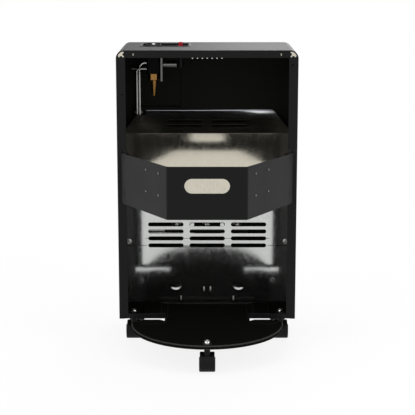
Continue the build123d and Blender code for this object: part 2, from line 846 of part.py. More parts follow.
def burner_body(x):
    """Pressed box behind a plaque, with its mixing cone below."""
    half = burner_width / 2
    low = burner_shelf_level
    high = low + burner_height
    body = block(x - half, x + half, burner_rear, burner_front, low, high)
    body = fillet(body.edges().filter_by(Axis.Y), plaque_margin)
    inner = half - burner_wall
    body -= block(x - inner, x + inner, burner_rear + burner_wall, burner_front - burner_wall,
                  low + burner_wall, high - burner_wall)
    opening = half - plaque_margin
    body -= block(x - opening, x + opening, burner_front - 2 * burner_wall, burner_front + sheet,
                  low + plaque_margin, high - plaque_margin)
    mixer_x = injector_x(x)
    cone = Pos(mixer_x, burner_y, low - mixer_drop / 2) * Cone(mixer_radius, mixer_throat, mixer_drop)
    throat = rod_z(mixer_x, burner_y, low - mixer_drop, low + 2 * burner_wall, mixer_throat - burner_wall)
    flare = Pos(mixer_x, burner_y, low - mixer_drop / 2) * Cone(
        mixer_radius - burner_wall, mixer_throat - burner_wall, mixer_drop)
    return body + cone - throat - flare


def ceramic_plaque(x):
    """Radiant plaque, grooved into small fields."""
    half = burner_width / 2 - plaque_margin - seat_gap
    low = burner_shelf_level + plaque_margin + seat_gap
    high = burner_shelf_level + burner_height - plaque_margin - seat_gap
    plaque = block(x - half, x + half, plaque_front - plaque_thickness, plaque_front, low, high)
    y0 = plaque_front - groove_depth
    pitch_x = 2 * half / groove_columns
    pitch_z = (high - low) / groove_rows
    for column in range(1, groove_columns):
        groove = x - half + column * pitch_x
        plaque -= block(groove - groove_width / 2, groove + groove_width / 2, y0, plaque_front, low, high)
    for row in range(1, groove_rows):
        groove = low + row * pitch_z
        plaque -= block(x - half, x + half, y0, plaque_front, groove - groove_width / 2,
                        groove + groove_width / 2)
    return plaque


def ceramic_plaques():
    """All plaques of the burner."""
    return Compound([ceramic_plaque(x) for _, x in burner_places()])


def burner_shelf():
    """Shelf between the heat shield and the front panel that carries the burners."""
    top = shelf_top
    near = shield_front + seat_gap
    far = panel_back - 2 * seat_gap - reflector_sheet
    shelf = block(-shelf_half, shelf_half, near, far, top - shelf_sheet, top)
    shelf += block(-shelf_half, shelf_half, near, near + shelf_sheet, top - shelf_sheet, top + shelf_flange)
    shelf += block(-shelf_half, shelf_half, far - shelf_sheet, far, top - shelf_flange, top)
    for _, x in burner_places():
        shelf -= rod_z(injector_x(x), burner_y, top - 2 * shelf_flange, top + sheet, mixer_radius + seat_gap)
    shelf -= rod_z(pilot_x, pilot_y, top - shelf_flange, top + sheet, pilot_pipe_diameter / 2 + seat_gap)
    shelf -= rod_z(electrode_x, pilot_y, top - shelf_flange, top + sheet, lead_diameter / 2 + seat_gap)
    return shelf


def gas_manifold():
    """Tube under the burners, closed at one end, with a boss for each injector."""
    y = burner_y
    radius = manifold_diameter / 2
    tube = rod_x(manifold_end, -manifold_end, y, manifold_level, radius)
    tube = fillet(tube.edges().group_by(Axis.X)[-1], radius / 2)
    for _, x in burner_places():
        boss_top = manifold_level + radius + sheet
        tube += rod_z(injector_x(x), y, manifold_level, boss_top, injector_width / 2 + sheet)
    return tube


def manifold_straps():
    """Straps that hang the manifold under the burner shelf."""
    y = burner_y
    radius = manifold_diameter / 2
    parts = []
    for side in (-1, 1):
        x = side * injector_pitch / 2
        top = shelf_top - shelf_sheet
        left, right = x - strap_width / 2, x + strap_width / 2
        strap = block(left, right, y + radius, y + radius + sheet, manifold_level - radius, top)
        foot = block(left, right, y - radius, y + radius + sheet, manifold_level - radius - sheet,
                     manifold_level - radius)
        parts.append(strap + foot)
    return parts


def injectors():
    """Brass jets between the manifold and the mixing cones."""
    y = burner_y
    low = manifold_level + manifold_diameter / 2 + sheet
    jets = []
    for _, x in burner_places():
        hexagon = Pos(injector_x(x), y) * RegularPolygon(injector_width / 2, 6, major_radius=False)
        jet = flat(hexagon, low, low + injector_height / 2)
        tip = Pos(injector_x(x), y, low + injector_height * 0.75) * Cone(
            injector_width * 0.35, injector_width * 0.2, injector_height / 2)
        jets.append(jet + tip)
    return Compound(jets)


def reflector():
    """Bright funnel from the burner front to the window, with a flange behind the panel."""
    wide = rectangle(-window_half_width, window_half_width, window_low, window_high, window_corner)
    inner_half_x = shelf_half - plaque_margin / 2
    inner_low = burner_shelf_level + plaque_margin / 2
    inner_high = burner_shelf_level + burner_height - plaque_margin / 2
    narrow = rectangle(-inner_half_x, inner_half_x, inner_low, inner_high, plaque_margin)
    far = panel_back - seat_gap
    near = burner_front + seat_gap
    far_plane = Plane(origin=(0, far, 0), x_dir=(1, 0, 0), z_dir=(0, -1, 0))
    near_plane = Plane(origin=(0, near, 0), x_dir=(1, 0, 0), z_dir=(0, -1, 0))
    outside = loft([near_plane * offset(narrow, reflector_sheet), far_plane * offset(wide, reflector_sheet)])
    inside = loft([near_plane * narrow, far_plane * wide])
    flange_outline = offset(wide, reflector_flange) - wide
    flange = upright(flange_outline, far - reflector_sheet, far)
    shape = outside + flange - inside
    notch_left = thermocouple_x - pilot_plate_margin - seat_gap
    notch_right = electrode_x + pilot_plate_margin + seat_gap
    return shape - block(notch_left, notch_right, near - sheet, far + sheet,
                         window_low - 2 * reflector_flange, max(inner_low, window_low) + sheet)


# ---------------------------------------------------------------- front
def front_panel():
    """Painted front with the burner window, louvres below and small vents above."""
    outline = cabinet_outline(sheet + seat_gap)
    window = rectangle(-window_half_width, window_half_width, window_low, window_high, window_corner)
    holes = [window]
    for i in range(vent_count):
        x = (i - (vent_count - 1) / 2) * vent_pitch
        holes.append(Pos(x, vent_level) * Circle(vent_diameter / 2))
    for column in range(louvre_columns):
        x = (column - (louvre_columns - 1) / 2) * louvre_pitch_x
        for row in range(louvre_rows):
            z = louvre_level + row * louvre_pitch_z
            holes.append(Pos(x, z) * SlotOverall(louvre_length, louvre_height))
    tray_edge = inner_half - tray_sheet - 2 * seat_gap
    over_tray = tray_top + tray_flange + seat_gap
    beside_tray = rectangle(-half_width, half_width, 0, over_tray) - rectangle(-tray_edge, tray_edge, 0, over_tray)
    face = upright(outline - holes - beside_tray, panel_back, panel_front)
    above_tray = rectangle(-cabinet_width, cabinet_width, over_tray, 2 * cabinet_top)
    ring = (outline - cabinet_outline(2 * sheet + seat_gap)) & above_tray
    returns = upright(ring, panel_back - front_return, panel_back)
    return face + returns


def guard_grille():
    """Wire guard in front of the burner window."""
    half = window_half_width + guard_margin
    low = window_low - guard_margin
    high = window_high + guard_margin
    y = front - guard_wire / 2 - sheet - seat_gap
    middle = (low + high) / 2
    plane = Plane(origin=(0, y, middle), x_dir=(1, 0, 0), z_dir=(0, -1, 0))
    path = plane * RectangleRounded(2 * half, high - low, guard_corner)
    wire = path.face().outer_wire()
    section = Plane(origin=wire @ 0, z_dir=wire % 0) * Circle(guard_wire / 2)
    grille = sweep(section, path=wire)
    bar_y = y - guard_wire / 2 - guard_bar / 2 + guard_weld
    pitch = (high - low) / (guard_bars + 1)
    for i in range(1, guard_bars + 1):
        grille += rod_x(-half, half, bar_y, low + i * pitch, guard_bar / 2)
    for x in guard_uprights:
        grille += rod_z(x, y, low, high, guard_bar / 2)
    for side in (-1, 1):
        for z in (low + 2 * guard_corner, high - 2 * guard_corner):
            grille += rod_y(side * half, panel_front, y, z, guard_bar / 2)
    return grille


# ---------------------------------------------------------------- controls
def control_bezel():
    """Dish let into the cabinet top, with holes for the spindle and the igniter."""
    gap = seat_gap
    left, right = dish_left + gap, dish_right - gap
    near, far = rear + dish_near + gap, rear + dish_far - gap
    outer = rectangle(left, right, near, far, dish_corner - gap)
    dish = flat(outer, dish_under, cabinet_top)
    dish = fillet(dish.edges().group_by(Axis.Z)[0], dish_bottom_round + dish_wall)
    dish += flat(offset(outer, dish_rim), cabinet_top, cabinet_top + dish_rim_height)
    dish = fillet(dish.edges().group_by(Axis.Z)[-1], dish_rim_round)
    pocket = flat(offset(outer, -dish_wall), dish_floor, cabinet_top + 2 * dish_rim_height)
    dish -= fillet(pocket.edges().group_by(Axis.Z)[0], dish_bottom_round)
    dish -= rod_z(control_x, control_y, dish_under - sheet, dish_floor + sheet, spindle_hole / 2)
    collar_hole = igniter_collar / 2 + seat_gap
    return dish - rod_z(igniter_x, igniter_y, dish_under - sheet, dish_floor + sheet, collar_hole)


def gas_valve():
    """Valve body with a collar for the spindle and two outlets towards the front."""
    half_x = valve_width / 2
    half_y = valve_depth / 2
    body = block(control_x - half_x, control_x + half_x, control_y - half_y, valve_face, valve_low, valve_high)
    body = chamfer(body.edges().filter_by(Axis.Z), valve_corner)
    body += rod_z(control_x, control_y, valve_high, valve_high + valve_collar_height, valve_collar / 2)
    start = valve_face - valve_corner
    body += rod_y(outlet_x, start, outlet_end, outlet_level, outlet_diameter / 2)
    body += rod_y(pilot_outlet_x, start, outlet_end, pilot_outlet_level, pilot_outlet_diameter / 2)
    bore_low = spindle_low - push_travel - push_rest
    return body - rod_z(control_x, control_y, bore_low, valve_high + 2 * valve_collar_height,
                        spindle_diameter / 2 + running_gap)


def magnet_unit():
    """Flame failure magnet in the side of the valve: a neck, a can and its end lip."""
    end = magnet_start + magnet_length
    step = magnet_start + magnet_neck_length
    body = rod_x(magnet_start, step, control_y, magnet_level, magnet_neck_diameter / 2)
    body += rod_x(step, end, control_y, magnet_level, magnet_diameter / 2)
    return body + rod_x(end - magnet_lip_length, end, control_y, magnet_level, magnet_lip / 2)


def valve_bracket():
    """Bright angle that hangs the gas valve under the dish."""
    web = magnet_start + seat_gap
    low = valve_low - bracket_drop
    top = dish_under - seat_gap
    near = rear + bracket_rear
    far = rear + bracket_front
    bracket = block(web, web + bracket_sheet, near, far, low, top)
    bracket += block(web, web + bracket_face, near, near + bracket_sheet, low, top)
    bracket += block(web, web + bracket_shelf, near, far, top - bracket_sheet, top)
    hole = magnet_neck_diameter / 2 + seat_gap
    return bracket - rod_x(web - sheet, web + 2 * bracket_sheet, control_y, magnet_level, hole)


def hose_nozzle():
    """Brass hose tail: a hexagon and a row of barbs that grow thinner downwards."""
    hexagon = Pos(control_x, control_y) * RegularPolygon(nozzle_hex / 2, 6, major_radius=False)
    nozzle = flat(hexagon, valve_low - nozzle_hex_height, valve_low)
    nozzle = chamfer(nozzle.edges().group_by(Axis.Z)[0], nozzle_hex_edge)
    level = valve_low - nozzle_hex_height
    for radius in barb_radii:
        barb = Cone(radius - barb_step, radius, barb_pitch)
        nozzle += Pos(control_x, control_y, level - barb_pitch / 2) * barb
        level -= barb_pitch
    return nozzle - rod_z(control_x, control_y, level - sheet, valve_low + sheet, nozzle_bore / 2)


def valve_spindle():
    """Steel spindle between the valve and the knob."""
    return rod_z(control_x, control_y, spindle_low, spindle_high, spindle_diameter / 2)


def control_knob():
    """Knob with a raised grip and a blind socket."""
    base_top = knob_low + knob_base
    knob = rod_z(control_x, control_y, knob_low, base_top, knob_diameter / 2)
    knob = fillet(knob.edges().group_by(Axis.Z)[-1], knob_edge)
    grip_length = knob_diameter - 2 * knob_grip_gap
    grip = flat(Pos(control_x, control_y) * SlotOverall(grip_length, knob_grip_width), base_top - sheet,
                cabinet_top + knob_rise)
    grip = fillet(grip.edges().group_by(Axis.Z)[-1], knob_grip_round)
    socket_radius = spindle_diameter / 2 + running_gap
    return knob + grip - rod_z(control_x, control_y, knob_low - sheet, knob_low + knob_socket, socket_radius)


def piezo_igniter():
    """Push igniter under the dish, with a collar that comes up through it."""
    flange_top = dish_under - seat_gap
    body = rod_z(igniter_x, igniter_y, igniter_low, flange_top, igniter_diameter / 2)
    body += rod_z(igniter_x, igniter_y, flange_top - igniter_flange_height, flange_top,
                  igniter_collar / 2 + igniter_flange)
    body += rod_z(igniter_x, igniter_y, flange_top, collar_top, igniter_collar / 2)
    return body - rod_z(igniter_x, igniter_y, collar_top - button_bore, collar_top + sheet,
                        button_diameter / 2 + running_gap)


def piezo_button():
    """Red push button."""
    low = collar_top - button_bore + button_travel + push_rest
    button = rod_z(igniter_x, igniter_y, low, cabinet_top + button_rise, button_diameter / 2)
    return fillet(button.edges().group_by(Axis.Z)[-1], button_edge)


# ---------------------------------------------------------------- pilot
def pilot_bracket():
    """Small angle on the shelf that holds the pilot, thermocouple and electrode."""
    left = thermocouple_x - pilot_plate_margin
    right = electrode_x + pilot_plate_margin
    near = pilot_y - pilot_plate_margin
    far = pilot_y + pilot_plate_margin
    top = pilot_plate_level
    wall = block(left, right, near, near + pilot_plate_sheet, shelf_top, top)
    foot = block(left, right, near - pilot_plate_margin, near, shelf_top, shelf_top + pilot_plate_sheet)
    plate = block(left, right, near, far, top - pilot_plate_sheet, top)
    for x, diameter in ((pilot_x, pilot_burner_diameter), (thermocouple_x, thermocouple_diameter),
                        (electrode_x, electrode_diameter)):
        plate -= rod_z(x, pilot_y, shelf_top, 2 * top, diameter / 2 + fastener_gap)
    return wall + foot + plate


def collared_rod(x, low, high, diameter):
    """Upright rod that rests on the pilot bracket with a collar."""
    rod = rod_z(x, pilot_y, low, high, diameter / 2)
    collar = rod_z(x, pilot_y, pilot_plate_level, pilot_plate_level + pilot_collar, diameter / 2 + pilot_collar)
    return rod + collar


def pilot_burner():
    """Pilot jet with a slanted mouth."""
    body = collared_rod(pilot_x, pilot_burner_low, pilot_burner_high, pilot_burner_diameter)
    reach = 2 * pilot_burner_diameter
    mouth = Pos(0, 0, reach) * Box(2 * reach, 2 * reach, 2 * reach)
    return body - Pos(pilot_x, pilot_y, pilot_burner_high) * Rot(pilot_mouth_angle, 0, 0) * mouth


def thermocouple():
    """Sensing rod beside the pilot."""
    rod = collared_rod(thermocouple_x, thermocouple_low, thermocouple_high, thermocouple_diameter)
    return fillet(rod.edges().group_by(Axis.Z)[-1], thermocouple_diameter / 2 - 0.4)


def spark_electrode():
    """Ceramic rod with a wire tip that leans to the pilot."""
    rod = collared_rod(electrode_x, electrode_low, electrode_high, electrode_diameter)
    wire = Pos(0, 0, spark_reach / 2 - spark_wire) * Cylinder(spark_wire / 2, spark_reach)
    return rod + Pos(electrode_x, pilot_y, electrode_high) * Rot(0, -spark_lean, 0) * wire


# ---------------------------------------------------------------- pipes
def burner_pipe():
    """Pipe from the valve down the left side to the manifold."""
    drop_x = pipe_drop_side - half_width
    side_x = pipe_side - half_width
    points = [
        (outlet_x, outlet_end, outlet_level),
        (outlet_x, drop_y, outlet_level),
        (drop_x, drop_y, outlet_level),
        (drop_x, drop_y, pipe_turn_level),
        (side_x, burner_y, pipe_side_level),
        (side_x, burner_y, manifold_level),
        (manifold_end, burner_y, manifold_level),
    ]
    return tube_along(points, pipe_bend, pipe_diameter / 2)


def pilot_pipe():
    """Thin pipe beside the burner pipe, to the pilot. It crosses in front of the burner pipe."""
    drop_x = pilot_drop_side - half_width
    side_x = pilot_side - half_width
    side_y = panel_back - pilot_side_gap
    cross_y = drop_y - pipe_diameter / 2 - pilot_pipe_diameter / 2 - pilot_cross_gap
    points = [
        (pilot_outlet_x, outlet_end, pilot_outlet_level),
        (pilot_outlet_x, cross_y, pilot_outlet_level),
        (drop_x, cross_y, pilot_outlet_level),
        (drop_x, drop_y, pilot_outlet_level - pilot_jog),
        (drop_x, drop_y, pipe_turn_level),
        (side_x, side_y, pipe_side_level),
        (side_x, side_y, pilot_run_level),
        (pilot_x, side_y, pilot_run_level),
        (pilot_x, pilot_y, pilot_run_level),
        (pilot_x, pilot_y, pilot_burner_low),
    ]
    return tube_along(points, pilot_bend, pilot_pipe_diameter / 2)


def ignition_lead():
    """High-tension lead from the igniter to the electrode."""
    lead_y = panel_back - lead_gap
    drop_x = lead_drop_side - half_width
    side_x = lead_side - half_width
    side_y = shield_front + lead_shield_gap
    points = [
        (igniter_x, igniter_y, igniter_low),
        (igniter_x, igniter_y, lead_cross_level),
        (igniter_x, lead_y, lead_cross_level),
        (drop_x, lead_y, lead_cross_level),
        (drop_x, lead_y, lead_turn_level),
        (side_x, side_y, lead_side_level),
        (side_x, side_y, lead_run_level),
        (electrode_x, side_y, lead_run_level),
        (electrode_x, pilot_y, lead_run_level),
        (electrode_x, pilot_y, electrode_low),
    ]
    return tube_along(points, lead_bend, lead_diameter / 2)


def pipe_brackets():
    """Bars on the front panel that the two pipes rest against, and the manifold's straps."""
    near = drop_y + pipe_diameter / 2 + seat_gap
    far = panel_back - seat_gap
    bars = []
    for level, (left, right) in zip(clip_levels, clip_sides):
        bars.append(block(left - half_width, right - half_width, near, far,
                          level - clip_height / 2, level + clip_height / 2))
    return Compound(bars + manifold_straps())


# ---------------------------------------------------------------- retaining band
def band_plan():
    """Band seen from above: a flat face with two wings that run on past the cabinet's edge."""
    slope = band_reach / (band_half_end - band_half_face)
    beyond = 20
    y_face = rear - band_reach
    x_far = band_half_end + beyond / slope
    plan = make_face(Polyline(
        (-band_half_face, y_face), (band_half_face, y_face), (x_far, rear + beyond),
        (-x_far, rear + beyond), close=True))
    return fillet(plan.vertices().group_by(Axis.Y)[0], band_bend)


def wing_plane(side, z):
    """Plane on the outside of a wing: X along the wing from the fold, Y up."""
    run = band_half_end - band_half_face
    length = hypot(run, band_reach)
    along = (side * run / length, band_reach / length, 0)
    outward = (side * band_reach / length, -run / length, 0)
    start = (side * band_half_face, rear - band_reach, z)
    return Plane(origin=start, x_dir=along, z_dir=outward)


def wing_disc(side, distance, z, radius, start, end):
    """Cylinder square to a wing, from start to end outward from its outer face."""
    plane = wing_plane(side, z)
    disc = plane * Pos(distance, 0, (start + end) / 2) * Cylinder(radius, end - start)
    return disc


def retaining_band():
    """Folded band round the back of the bottle, hooked into the cabinet's rear edge."""
    plan = band_plan()
    ring = plan - offset(plan, -band_sheet)
    band = flat(ring, band_low, band_high)
    band -= block(-cabinet_width, cabinet_width, rear - band_end_gap, front, 0, cabinet_top)
    y_face = rear - band_reach
    slot = Pos(0, hand_slot_level) * SlotOverall(hand_slot_length, hand_slot_height)
    grown = Pos(0, hand_slot_level) * SlotOverall(
        hand_slot_length + 2 * band_sheet, hand_slot_height + 2 * band_sheet)
    band += upright(grown, y_face, y_face + band_sheet + hand_slot_lip)
    band -= upright(slot, y_face - sheet, y_face + band_sheet + 2 * hand_slot_lip)
    for side in (-1, 1):
        for level in hook_levels:
            band += band_hook(side, level)
        for distance in rivet_distances:
            for z in rivet_levels:
                band -= wing_disc(side, distance, z, rivet_shank / 2 + fastener_gap, -2 * band_sheet, band_sheet)
    return band


def band_hook(side, level):
    """Tab through a slot of the rear edge, with a lip that drops behind it."""
    slope = band_reach / (band_half_end - band_half_face)
    wing_y = rear - (band_half_end - hook_place) * slope
    low = level + seat_gap
    x0 = side * hook_place - band_sheet / 2
    x1 = side * hook_place + band_sheet / 2
    lip_near = rear + sheet + hook_lip_gap
    tab = block(x0, x1, wing_y, lip_near + hook_lip, low, low + hook_height)
    lip = block(x0, x1, lip_near, lip_near + hook_lip, low - hook_drop, low)
    return tab + lip


def band_stiffeners():
    """Doubler plates inside the wings."""
    plates = []
    middle = (stiffener_low + stiffener_high) / 2
    for side in (-1, 1):
        plane = wing_plane(side, middle)
        centre = Pos(stiffener_start + stiffener_length / 2, 0, -1.5 * band_sheet)
        plate = plane * centre * Box(stiffener_length, stiffener_high - stiffener_low, band_sheet)
        for distance in rivet_distances:
            for z in rivet_levels:
                plate -= wing_disc(side, distance, z, rivet_shank / 2 + fastener_gap, -3 * band_sheet, band_sheet)
        plates.append(plate)
    return Compound(plates)


def band_rivets():
    """Rivets through the wings and the doubler plates."""
    rivets = []
    for side in (-1, 1):
        for distance in rivet_distances:
            for z in rivet_levels:
                place = wing_plane(side, z) * Pos(distance, 0, rivet_head_height / 2)
                head = place * Cone(rivet_head / 2, rivet_crown / 2, rivet_head_height)
                shank = wing_disc(side, distance, z, rivet_shank / 2, -2 * band_sheet, 0)
                tail = wing_disc(side, distance, z, rivet_tail / 2, -2 * band_sheet - rivet_tail_height,
                                 -2 * band_sheet)
                rivets.append(head + shank + tail)
    return Compound(rivets)


# ---------------------------------------------------------------- write every sub-part
single_parts = (
    cabinet_shell, corner_gussets, rear_sills, base_tray, caster_stems, caster_nuts,
    heat_shield, shield_screws, shield_hood, front_panel, guard_grille, reflector,
    burner_shelf, ceramic_plaques, gas_manifold, injectors, pipe_brackets,
    pilot_bracket, pilot_burner, thermocouple, spark_electrode,
    control_bezel, gas_valve, magnet_unit, valve_bracket, hose_nozzle, valve_spindle,
    control_knob, piezo_igniter, piezo_button, burner_pipe, pilot_pipe, ignition_lead,
    retaining_band, band_stiffeners, band_rivets,
)

for make in single_parts:
    save(make(), make.__name__)

for name, x in burner_places():
    save(burner_body(x), f"burner_body_{name}")

for name, x, y in caster_places():
    save(caster_housing(x, y), f"caster_{name}_housing")
    save(caster_axle(x, y), f"caster_{name}_axle")
    for wheel_name, side in (("left", -1), ("right", 1)):
        save(caster_wheel(x, y, side), f"caster_{name}_wheel_{wheel_name}")
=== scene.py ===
"""Looks of a portable gas cabinet heater, seen from behind with its bottle bay open.

Metres, in the part's own frame: +Z up, -Y towards the open bay, +X to the viewer's right.
"""
import json
import math

import bmesh
import bpy
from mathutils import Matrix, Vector


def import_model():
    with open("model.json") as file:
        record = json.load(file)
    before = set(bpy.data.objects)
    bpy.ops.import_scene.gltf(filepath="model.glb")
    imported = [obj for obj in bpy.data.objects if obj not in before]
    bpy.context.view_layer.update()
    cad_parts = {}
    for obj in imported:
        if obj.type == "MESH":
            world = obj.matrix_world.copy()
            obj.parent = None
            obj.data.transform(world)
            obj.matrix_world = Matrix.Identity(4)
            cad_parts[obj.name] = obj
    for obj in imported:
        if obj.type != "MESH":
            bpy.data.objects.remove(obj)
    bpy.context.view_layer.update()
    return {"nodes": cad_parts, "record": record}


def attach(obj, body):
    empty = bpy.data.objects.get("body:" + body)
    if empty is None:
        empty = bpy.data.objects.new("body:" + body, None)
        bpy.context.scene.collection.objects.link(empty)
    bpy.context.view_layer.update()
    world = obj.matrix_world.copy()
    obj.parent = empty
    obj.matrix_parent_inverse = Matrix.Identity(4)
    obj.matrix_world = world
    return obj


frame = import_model()
MM = 0.001


# ---------------------------------------------------------------- node materials
def fill(tree, socket, value):
    """Links or writes one input socket."""
    if isinstance(value, bpy.types.NodeSocket):
        tree.links.new(value, socket)
    else:
        socket.default_value = value


def add_node(tree, kind, output, options=None, **inputs):
    """A new node's output socket, by name or number. Its inputs go by name, or as i0, i1 and so on."""
    made = tree.nodes.new("ShaderNode" + kind)
    for option, value in (options or {}).items():
        setattr(made, option, value)
    for name, value in inputs.items():
        numbered = name[0] == "i" and name[1:].isdigit()
        fill(tree, made.inputs[int(name[1:]) if numbered else name], value)
    return made.outputs[output]


class Finish:
    """A node material. Its patterns run through the piece's own coordinates, in metres."""

    def __init__(self, name, color, roughness, metallic=0.0, **sockets):
        self.material = bpy.data.materials.new(name)
        self.material.use_nodes = True
        self.tree = self.material.node_tree
        self.shader = self.tree.nodes["Principled BSDF"]
        self.place = self.node("TexCoord", "Object")
        self.set("Base Color", (*color, 1))
        self.set("Roughness", roughness)
        self.set("Metallic", metallic)
        for socket, value in sockets.items():
            self.set(socket.replace("_", " "), value)

    def set(self, name, value):
        """Links or writes one input of the shader."""
        fill(self.tree, self.shader.inputs[name], value)

    def node(self, kind, output, options=None, **inputs):
        return add_node(self.tree, kind, output, options, **inputs)

    def stretched(self, x, y, z):
        """The coordinates with each axis scaled, so that a pattern is drawn out along an axis below 1."""
        return self.node("Mapping", "Vector", Vector=self.place, Scale=(x, y, z))

    def noise(self, scale, detail=2.0, vector=None):
        return self.node("TexNoise", "Fac", Vector=vector or self.place, Scale=scale, Detail=detail)

    def cells(self, scale, vector):
        return self.node("TexVoronoi", "Color", Vector=vector, Scale=scale)

    def spread(self, value, low, high, bottom=0.3, top=0.7):
        """The value, mapped from bottom..top to low..high."""
        return self.node("MapRange", 0, i0=value, i1=bottom, i2=top, i3=low, i4=high)

    def mix(self, factor, first, second):
        """Between two colours, which may be written out or come from another socket."""
        colors = [c if isinstance(c, bpy.types.NodeSocket) else (*c, 1) for c in (first, second)]
        return self.node("Mix", 2, {"data_type": "RGBA"}, i0=factor, i6=colors[0], i7=colors[1])

    def math(self, operation, first, second=0.0):
        return self.node("Math", 0, {"operation": operation}, i0=first, i1=second)

    def product(self, first, second):
        return self.math("MULTIPLY", first, second)

    def blend(self, share, first, second):
        """A share of the first value, and the rest of the second."""
        return self.math("ADD", self.product(first, share), self.product(second, 1 - share))

    def axis(self, name, vector=None):
        """One coordinate of the place or of another vector, "X", "Y" or "Z"."""
        return self.node("SeparateXYZ", name, Vector=vector or self.place)

    def length(self, x, y):
        """Of the flat vector with these two coordinates."""
        flat = self.node("CombineXYZ", "Vector", X=x, Y=y)
        return self.node("VectorMath", "Value", {"operation": "LENGTH"}, Vector=flat)

    def above(self, value, limit):
        return self.math("GREATER_THAN", value, limit)

    def below(self, value, limit):
        return self.math("LESS_THAN", value, limit)

    def departure(self, normal):
        """0 where a normal is the face's own, and more where an edge is rounded."""
        own = self.node("NewGeometry", "Normal")
        aligned = self.node("VectorMath", "Value", {"operation": "DOT_PRODUCT"}, i0=normal, i1=own)
        return self.math("SUBTRACT", 1.0, aligned)

    def turned(self, normal, axis, degrees):
        """The normal, turned about an axis."""
        angle = self.math("RADIANS", degrees)
        about = {"rotation_type": axis + "_AXIS"}
        return self.node("VectorRotate", "Vector", about, Vector=normal, Angle=angle)

    def round_edges(self, radius):
        return self.node("Bevel", "Normal", {"samples": 4}, Radius=radius)

    def bump(self, height, distance, normal=None):
        inputs = {"Strength": 1.0, "Distance": distance, "Height": height}
        if normal is not None:
            inputs["Normal"] = normal
        return self.node("Bump", "Normal", **inputs)


PAINT_DARK = (0.0036, 0.0036, 0.0039)
PAINT_LIGHT = (0.0050, 0.0050, 0.0054)
PAINT_SHINE = 0.135
PAINT_ROUGH = 0.42
PAINT_CLOUDS = 0.04          # by which its roughness varies
INSIDE_COLOR = (0.0036, 0.0040, 0.0026)
INSIDE_ROUGH = 0.65
TOP_ROUGHER = 0.105          # the top face, against the rest of the outside


def orange_peel(made):
    return made.noise(850.0, 2.0)


def black_paint(name="black_paint"):
    """Semi-gloss black powder coat, with a faint orange peel and soft folded edges."""
    made = Finish(name, PAINT_DARK, PAINT_ROUGH, Specular_IOR_Level=PAINT_SHINE)
    peel = orange_peel(made)
    clouds = made.noise(9.0, 3.0)
    made.set("Roughness", made.spread(clouds, PAINT_ROUGH - PAINT_CLOUDS, PAINT_ROUGH + PAINT_CLOUDS))
    made.set("Base Color", made.mix(peel, PAINT_DARK, PAINT_LIGHT))
    made.set("Normal", made.bump(peel, 0.012 * MM, made.round_edges(0.9 * MM)))
    return made


CABINET_HALF = 0.210
CABINET_TOP = 0.713
CABINET_REAR = -0.031
CABINET_FRONT = 0.219
CORNER = 0.019
PANEL_FACE = 0.207
SKIN = 0.5 * MM              # points within this of the outside belong to the outside


def beyond_corner(made):
    """How far a point lies from the middle line of the cabinet's rounded corners."""
    side = made.math("SUBTRACT", made.math("ABSOLUTE", made.axis("X")), CABINET_HALF - CORNER)
    up = made.math("SUBTRACT", made.axis("Z"), CABINET_TOP - CORNER)
    return made.length(made.math("MAXIMUM", side), made.math("MAXIMUM", up))


def dull_inside(made, outside):
    """Gives the inside its thin coat of another tone. Returns the roughness of both sides."""
    coat = made.mix(orange_peel(made), PAINT_DARK, PAINT_LIGHT)
    made.set("Base Color", made.mix(outside, INSIDE_COLOR, coat))
    return made.spread(outside, INSIDE_ROUGH, PAINT_ROUGH, 0.0, 1.0)


def shell_paint():
    """Paint of the cabinet: a rougher top face, and a flat coat inside."""
    made = black_paint("shell_paint")
    rear = made.below(made.axis("Y"), CABINET_REAR + SKIN)
    front = made.above(made.axis("Y"), CABINET_FRONT - SKIN)
    around = made.above(beyond_corner(made), CORNER - SKIN)
    outside = made.math("MAXIMUM", around, made.math("MAXIMUM", rear, front))
    top = made.above(made.axis("Z"), CABINET_TOP - SKIN)
    rougher = made.product(top, TOP_ROUGHER)
    made.set("Roughness", made.math("ADD", dull_inside(made, outside), rougher))
    return made


def panel_paint():
    """Paint of the front panel: flat on the side towards the burner."""
    made = black_paint("panel_paint")
    outside = made.above(made.axis("Y"), PANEL_FACE - SKIN)
    made.set("Roughness", dull_inside(made, outside))
    return made


def tray_paint():
    """Flat black coat of the pressed base tray, with painted highlights along its rounded edges."""
    made = Finish("tray_paint", (0.0045, 0.0045, 0.0040), 0.5, Specular_IOR_Level=0.0)
    grit = made.noise(1100.0, 3.0)
    flat_coat = made.mix(grit, (0.0038, 0.0038, 0.0034), (0.0060, 0.0060, 0.0053))
    rounded = made.round_edges(2.5 * MM)
    # painted highlight: the colour lightens where the bevelled normal leaves the face's own, along
    # rounded edges
    edge_highlight = made.spread(made.departure(rounded), 0.0, 1.0, 0.0015, 0.10)
    made.set("Base Color", made.mix(edge_highlight, flat_coat, (0.115, 0.115, 0.110)))
    made.set("Roughness", made.spread(grit, 0.45, 0.55))
    made.set("Normal", made.bump(grit, 0.01 * MM, rounded))
    return made


METAL = 0.982                # the rest of the sheet's surface is a dull film
MARGIN = (0.150, 0.172)      # from the middle: where the sheet's duller margin starts, and is in full
MARGIN_METAL = 0.94
WARM_REFLECTION = (0.30, 0.36)          # heights over which the zinc turns from grey to straw, a painted warm reflection
GREY_DARK = (0.50, 0.51, 0.50)
GREY_LIGHT = (0.60, 0.61, 0.60)
STRAW_DARK = (0.54, 0.51, 0.42)
STRAW_LIGHT = (0.63, 0.595, 0.50)
ZINC_ROUGH = (0.090, 0.160)
SHEARED_COLOR = (0.05, 0.05, 0.045)    # of the sheet's cut edges
SHEARED_ROUGH = 0.6
SEAM_HALF = 0.6 * MM
